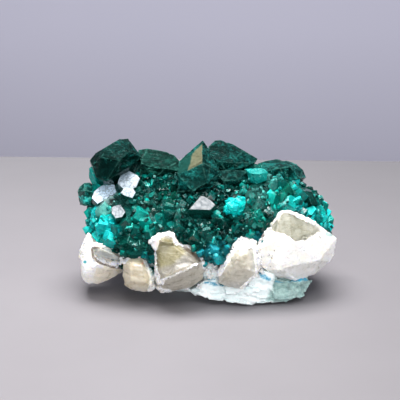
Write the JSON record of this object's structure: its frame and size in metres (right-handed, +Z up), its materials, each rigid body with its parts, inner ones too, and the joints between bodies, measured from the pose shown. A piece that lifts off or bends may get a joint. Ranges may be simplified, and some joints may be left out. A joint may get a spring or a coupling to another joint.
{
  "type": "dioptase specimen",
  "caption": "Cluster of green dioptase crystals over a crystal druse, with pale calcite crystals along the foot, on host rock with a flat underside.",
  "frame": {"origin": "middle of the specimen in plan, on the surface it rests on", "axes": "+Z up, +X to the right along the longest extent, -Y towards the front, where the large calcite crystals are"},
  "size_m": [0.0518, 0.033, 0.0309],
  "materials": {
    "host_rock": "matt white to pale mint rock, granular and layered, with thin blue-green veins",
    "dioptase_druse": "sparkling crust of small vitreous emerald to turquoise crystals",
    "dioptase": "vitreous, see-through deep emerald green, with growth lines and faint mottling on its faces",
    "dioptase_bright": "vitreous, clearer turquoise",
    "calcite": "cream, waxy and translucent in the middle, with frosted white rims and ridges"
  },
  "bodies": {
    "root": {"host_rock": "host_rock", "dioptase_druse": "dioptase_druse", "dioptase_top_left": "dioptase", "dioptase_top_long": "dioptase", "dioptase_top_centre": "dioptase", "dioptase_top_right": "dioptase", "dioptase_right_shoulder": "dioptase", "dioptase_left_edge": "dioptase", "dioptase_plate_upper": "dioptase", "dioptase_plate_left": "dioptase", "dioptase_plate_centre": "dioptase", "dioptase_plate_small": "dioptase", "dioptase_bright_centre": "dioptase_bright", "dioptase_teal_left": "dioptase_bright", "dioptase_teal_block": "dioptase_bright", "dioptase_back_left": "dioptase", "dioptase_back_centre": "dioptase", "dioptase_back_right": "dioptase", "dioptase_back_low": "dioptase", "dioptase_right_back": "dioptase", "dioptase_left_back": "dioptase", "calcite_left": "calcite", "calcite_sliver": "calcite", "calcite_stub": "calcite", "calcite_front": "calcite", "calcite_middle": "calcite", "calcite_right": "calcite", "calcite_back_left": "calcite", "calcite_back_right": "calcite"}
  },
  "joints": []
}
